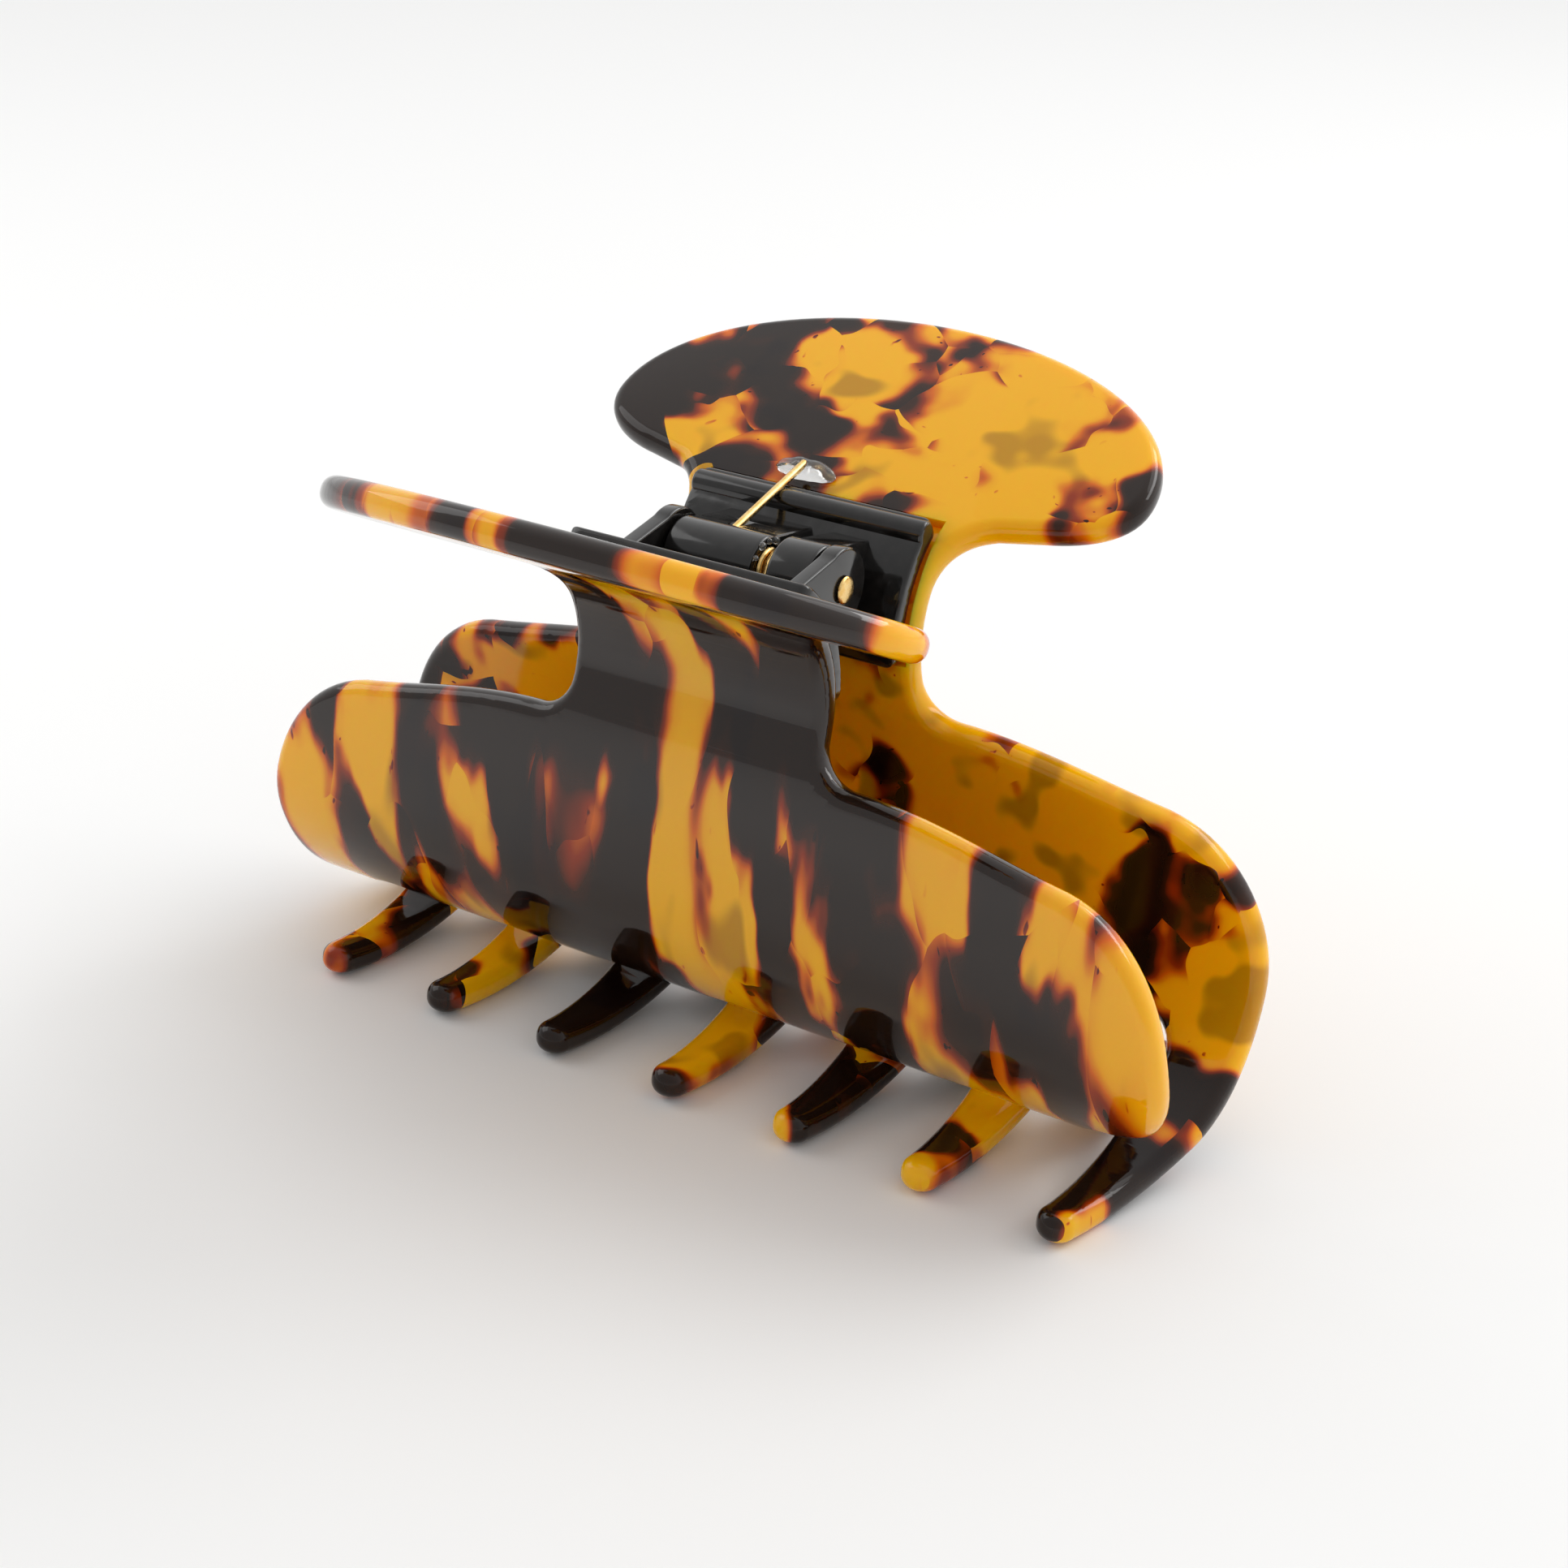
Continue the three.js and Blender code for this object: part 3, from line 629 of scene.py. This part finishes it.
# ---- Materials -------------------------------------------------------------------------------------
class Graph:
    """A small helper that adds nodes and links to one material."""

    def __init__(self, name):
        self.material = bpy.data.materials.new(name)
        self.material.use_nodes = True
        self.tree = self.material.node_tree
        self.bsdf = self.tree.nodes["Principled BSDF"]

    def node(self, kind, **inputs):
        node = self.tree.nodes.new(kind)
        for key, value in inputs.items():
            self.feed(node, key.replace("_", " "), value)
        return node

    def feed(self, node, key, value):
        socket = node.inputs[int(key)] if key.isdigit() else node.inputs[key]
        if isinstance(value, bpy.types.NodeSocket):
            self.tree.links.new(value, socket)
        else:
            socket.default_value = value

    def math(self, operation, a, b=0.0, clamp=False):
        node = self.tree.nodes.new("ShaderNodeMath")
        node.operation = operation
        node.use_clamp = clamp
        self.feed(node, "0", a)
        self.feed(node, "1", b)
        return node.outputs[0]

    def vector(self, operation, a, b=(0, 0, 0), scale=None):
        node = self.tree.nodes.new("ShaderNodeVectorMath")
        node.operation = operation
        self.feed(node, "0", a)
        self.feed(node, "1", b)
        if scale is not None:
            self.feed(node, "Scale", scale)
        return node.outputs[0]

    def noise(self, place, scale, detail=2.0, rough=0.5, colour=False):
        node = self.node("ShaderNodeTexNoise", Vector=place, Scale=scale, Detail=detail, Roughness=rough)
        return node.outputs["Color" if colour else "Fac"]

    def ramp(self, value, stops, mode="EASE"):
        node = self.node("ShaderNodeValToRGB", Fac=value)
        node.color_ramp.interpolation = mode
        elements = node.color_ramp.elements
        for _ in stops[2:]:
            elements.new(0.5)
        for element, (position, colour) in zip(elements, stops):
            element.position = position
            element.color = (*colour, 1)
        return node.outputs["Color"]

    def rerange(self, value, low, high, to_low=0.0, to_high=1.0):
        node = self.node("ShaderNodeMapRange", Value=value)
        node.interpolation_type = "SMOOTHSTEP"
        for key, number in (("From Min", low), ("From Max", high), ("To Min", to_low), ("To Max", to_high)):
            node.inputs[key].default_value = number
        return node.outputs["Result"]

    def bump(self, height, strength, distance):
        node = self.node("ShaderNodeBump", Height=height, Strength=strength, Distance=distance)
        self.tree.links.new(node.outputs["Normal"], self.bsdf.inputs["Normal"])

    def set(self, **values):
        for key, value in values.items():
            self.feed(self.bsdf, key.replace("_", " "), value)


# Colours from clear amber through red-orange edges to the dark flakes, by how dark the sheet is.
AMBER = [
    (0.00, (0.90, 0.48, 0.002)),
    (0.16, (0.86, 0.40, 0.002)),
    (0.36, (0.70, 0.15, 0.002)),
    (0.54, (0.30, 0.030, 0.002)),
    (0.76, (0.040, 0.010, 0.003)),
    (1.00, (0.014, 0.006, 0.003)),
]

# Tint of the flakes that lie deep in the sheet, and the lean of the bands in X per distance along.
OLIVE = (0.26, 0.15, 0.8)
BAND_LEAN = 0.25

# Pairs of X in millimetres and darkness from 0 to 1, for each jaw.
FRONT_BANDS = [
    (-46.0, 0.15), (-39.0, 0.75), (-34.0, 0.05), (-26.0, 0.7), (-22.0, 0.45), (-17.0, 1.0), (-5.0, 0.95),
    (0.5, 0.0), (6.0, 0.1), (10.0, 0.95), (14.0, 0.3), (19.0, 0.95), (26.0, 0.15), (30.0, 0.25), (34.0, 0.95),
    (41.0, 0.05),
]
REAR_BANDS = [
    (-46.0, 0.4), (-36.0, 0.65), (-27.0, 0.1), (-22.5, 0.1), (-18.0, 0.95), (-11.0, 0.8), (-5.0, 0.35),
    (6.0, 0.35), (12.0, 0.6), (18.0, 0.4), (24.0, 0.55), (30.0, 0.4), (39.0, 0.9), (46.0, 0.5),
]


def tortoiseshell(name, seed, stretch, lean, jag, edge, way, bands, swing, neck, shine):
    """Amber acetate with dark flakes that run right through the sheet, laid out on the flat blank.

    stretch, lean and jag shape the flakes, edge says how soft they are, way is the sign of X on the blank,
    bands and swing say how dark the sheet is across the clip, neck how much darker the neck is."""
    g = Graph(name)
    place = g.node("ShaderNodeAttribute")
    place.attribute_name = "sheet"
    flat = g.vector("MULTIPLY", place.outputs["Vector"], (0.1 * stretch[0], 0.1 * stretch[1], 0.02))
    turn = g.node("ShaderNodeVectorRotate", Vector=flat, Angle=math.radians(lean))
    turn.rotation_type = "Z_AXIS"
    moved = g.vector("ADD", turn.outputs[0], (seed, seed * 0.37, seed * 0.11))
    drift = g.vector("SUBTRACT", g.noise(moved, 0.9, 2.0, 0.5, True), (0.5, 0.5, 0.5))
    warped = g.vector("ADD", moved, g.vector("SCALE", drift, scale=0.9))
    cells = g.node("ShaderNodeTexVoronoi", Vector=warped, Scale=1.55, Randomness=1.0)
    jump = g.vector("SUBTRACT", cells.outputs["Color"], (0.5, 0.5, 0.5))
    jagged = g.vector("ADD", warped, g.vector("SCALE", jump, scale=jag))
    flakes = g.noise(jagged, 1.05, 1.2, 0.45)
    split = g.node("ShaderNodeSeparateXYZ", Vector=place.outputs["Vector"])
    across, along = split.outputs[0], split.outputs[1]
    slide = g.math("MULTIPLY", g.math("SUBTRACT", along, 25.0), -BAND_LEAN)
    wander = g.math("MULTIPLY", g.math("SUBTRACT", g.noise(moved, 1.6, 2.0), 0.5), 14.0)
    line = g.math("ADD", g.math("ADD", g.math("MULTIPLY", across, way), slide), wander)
    share_across = g.math("DIVIDE", g.math("ADD", line, BODY_HALF), 2 * BODY_HALF, clamp=True)
    stops = [((x + BODY_HALF) / (2 * BODY_HALF), (dark, dark, dark)) for x, dark in bands]
    band = g.math("MULTIPLY", g.math("SUBTRACT", g.ramp(share_across, stops), 0.5), swing)
    toward_teeth = g.rerange(along, 34.0, 50.0, 0.0, 0.04)
    specks = g.rerange(g.noise(warped, 9.0, 1.0), 0.70, 0.76, 0.0, 0.05)
    below_paddle = g.rerange(along, -10.0, -2.0)
    dark_neck = g.math("MULTIPLY", g.rerange(along, 9.0, 20.0, neck, 0.0), below_paddle)
    patches = g.math("ADD", g.math("ADD", flakes, toward_teeth), dark_neck)
    level = g.math("ADD", patches, g.math("ADD", specks, band))
    share = g.rerange(level, *edge)
    colour = g.ramp(share, AMBER, "LINEAR")
    deep = g.rerange(g.noise(g.vector("ADD", moved, (9.0, 4.0, 0.0)), 1.7, 1.0), 0.58, 0.68)
    mixed = g.node("ShaderNodeMix")
    mixed.data_type = "RGBA"
    g.feed(mixed, "0", g.math("MULTIPLY", deep, 0.5))
    g.feed(mixed, "6", colour)
    g.feed(mixed, "7", g.vector("MULTIPLY", colour, OLIVE))
    # shine is the specular level. The rear jaw gets a lower one than the front although both are the same
    # acetate, which is painted shade on the rear jaw's reflections.
    g.set(Base_Color=mixed.outputs[2], Roughness=0.07, IOR=1.5, Specular_IOR_Level=shine)
    g.set(Subsurface_Weight=g.rerange(share, 0.35, 0.7, 0.8, 0.1))
    g.set(Subsurface_Radius=(1.0, 0.45, 0.08), Subsurface_Scale=0.0022)
    g.set(Coat_Weight=0.12, Coat_Roughness=0.03)
    g.bump(g.noise(warped, 3.0, 2.0), 0.02, 0.0004)
    return g.material


def black_plastic():
    """Glossy black moulding with faint unevenness."""
    g = Graph("moulded_black")
    place = g.node("ShaderNodeTexCoord").outputs["Object"]
    mottle = g.noise(place, 900.0, 3.0, 0.6)
    g.set(Base_Color=g.ramp(mottle, [(0.3, (0.006, 0.0055, 0.005)), (0.8, (0.014, 0.012, 0.011))]))
    g.set(Roughness=g.rerange(g.noise(place, 420.0, 4.0), 0.3, 0.7, 0.07, 0.2), IOR=1.5)
    g.set(Coat_Weight=0.25, Coat_Roughness=0.05)
    g.bump(g.noise(place, 260.0, 3.0), 0.12, 0.0002)
    return g.material


def brass():
    """Drawn brass wire and pin."""
    g = Graph("drawn_brass")
    place = g.node("ShaderNodeTexCoord").outputs["Object"]
    tone = g.noise(place, 1500.0, 3.0, 0.6)
    g.set(Base_Color=g.ramp(tone, [(0.3, (0.80, 0.50, 0.16)), (0.75, (0.95, 0.70, 0.32))]))
    g.set(Metallic=1.0, Roughness=g.rerange(tone, 0.3, 0.7, 0.18, 0.34))
    g.bump(g.noise(place, 3000.0, 2.0), 0.15, 0.00005)
    return g.material


def clear_glue():
    """Dried clear glue."""
    g = Graph("clear_glue")
    place = g.node("ShaderNodeTexCoord").outputs["Object"]
    g.set(Base_Color=g.ramp(g.noise(place, 700.0), [(0.3, (0.86, 0.86, 0.84)), (0.7, (0.97, 0.97, 0.96))]))
    g.set(Roughness=0.05, IOR=1.46, Transmission_Weight=0.92)
    g.bump(g.noise(place, 1100.0, 3.0), 0.35, 0.0002)
    return g.material


# ---- Room ------------------------------------------------------------------------------------------
def floor():
    """Pale paper floor."""
    bm = bmesh.new()
    bmesh.ops.create_grid(bm, x_segments=1, y_segments=1, size=6)
    obj = add_object("floor", bm, 1)
    g = Graph("paper")
    g.set(Base_Color=(0.93, 0.93, 0.925, 1), Roughness=0.9, Specular_IOR_Level=0.1)
    obj.data.materials.append(g.material)


def lamp(name, kind, energy, position, target=(0, 0, 0.03), **settings):
    data = bpy.data.lights.new(name, kind)
    data.energy = energy
    for key, value in settings.items():
        setattr(data, key, value)
    obj = bpy.data.objects.new(name, data)
    bpy.context.scene.collection.objects.link(obj)
    obj.location = position
    obj.rotation_euler = (Vector(target) - Vector(position)).to_track_quat("-Z", "Y").to_euler()
    return obj


def lights():
    """Soft studio light from behind, a darker room in front, and a white surround."""
    world = bpy.data.worlds.new("studio")
    bpy.context.scene.world = world
    world.use_nodes = True
    tree = world.node_tree
    background = tree.nodes["Background"]
    background.inputs["Color"].default_value = (1, 1, 1, 1)
    path = tree.nodes.new("ShaderNodeLightPath")
    level = tree.nodes.new("ShaderNodeMapRange")
    level.inputs["To Max"].default_value = 0.9
    direction = tree.nodes.new("ShaderNodeTexCoord")
    split = tree.nodes.new("ShaderNodeSeparateXYZ")
    sky = tree.nodes.new("ShaderNodeMapRange")
    for key, number in (("From Min", -0.7), ("From Max", 0.8), ("To Min", 0.54), ("To Max", 1.12)):
        sky.inputs[key].default_value = number
    tree.links.new(direction.outputs["Generated"], split.inputs[0])
    tree.links.new(split.outputs[1], sky.inputs["Value"])
    tree.links.new(sky.outputs["Result"], level.inputs["To Min"])
    tree.links.new(path.outputs["Is Camera Ray"], level.inputs["Value"])
    tree.links.new(level.outputs["Result"], background.inputs["Strength"])
    lamp("key", "SUN", 0.35, (0.35, 0.75, 0.85), angle=math.radians(38))
    strip = lamp("strip", "AREA", 0.9, (0.30, 0.42, 0.42), shape="RECTANGLE", size=0.5, size_y=0.16)
    side = lamp("side", "AREA", 0.35, (-0.42, -0.1, 0.35), shape="RECTANGLE", size=0.3, size_y=0.3)
    for obj in (strip, side):
        obj.visible_camera = False


CAMERA = {"azimuth": 31.92, "elevation": 25.14, "roll": 1.86, "distance": 0.2366, "lens": 60.44}
CAMERA_TARGET = (0.0041, -0.0001, 0.026)


def camera():
    """Camera at the height, side and distance of the product view."""
    a, e, roll = (math.radians(CAMERA[key]) for key in ("azimuth", "elevation", "roll"))
    back = Vector((math.sin(a) * math.cos(e), -math.cos(a) * math.cos(e), math.sin(e)))
    right = Vector((math.cos(a), math.sin(a), 0))
    up = back.cross(right)
    rolled_right = right * math.cos(roll) + up * math.sin(roll)
    rolled_up = up * math.cos(roll) - right * math.sin(roll)
    data = bpy.data.cameras.new("camera")
    data.lens = CAMERA["lens"]
    data.clip_start = 0.01
    obj = bpy.data.objects.new("camera", data)
    bpy.context.scene.collection.objects.link(obj)
    turned = Matrix((rolled_right, rolled_up, back)).transposed().to_4x4()
    obj.matrix_world = Matrix.Translation(Vector(CAMERA_TARGET) + back * CAMERA["distance"]) @ turned
    bpy.context.scene.camera = obj


def paint(obj, material):
    """Gives an object one material."""
    obj.data.materials.clear()
    obj.data.materials.append(material)


# ---- Assembly --------------------------------------------------------------------------------------
rear_jaw = make_jaw("jaw_rear", "rear_jaw", "rear_half", REAR_END_GAP_ROOT, False)
front_jaw = make_jaw("jaw_front", "front_jaw", "front_half", TOOTH_ROOT, True)
# Both jaws are one acetate. The rear jaw's lower shine is painted shade on its reflections, standing in for a
# darker room in front of it.
paint(rear_jaw, tortoiseshell(
    "tortoiseshell_rear", seed=3.1, stretch=(1.0, 0.95), lean=20.0, jag=0.3, edge=(0.45, 0.59),
    way=1.0, bands=REAR_BANDS, swing=0.2, neck=0.0, shine=0.28))
paint(front_jaw, tortoiseshell(
    "tortoiseshell_front", seed=8.4, stretch=(1.2, 0.42), lean=14.0, jag=0.2, edge=(0.37, 0.61),
    way=-1.0, bands=FRONT_BANDS, swing=0.36, neck=0.16, shine=0.5))
plastic, metal, glue = black_plastic(), brass(), clear_glue()
for piece in (rear_bracket(), front_bracket()):
    paint(piece, plastic)
for piece in (hinge_pin(), torsion_spring()):
    paint(piece, metal)
for piece in (spring_glue(), glue_residue(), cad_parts["rear_cement"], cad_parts["front_cement"]):
    paint(piece, glue)

floor()
lights()
camera()
bpy.context.scene.view_settings.view_transform = "Standard"
bpy.context.view_layer.update()
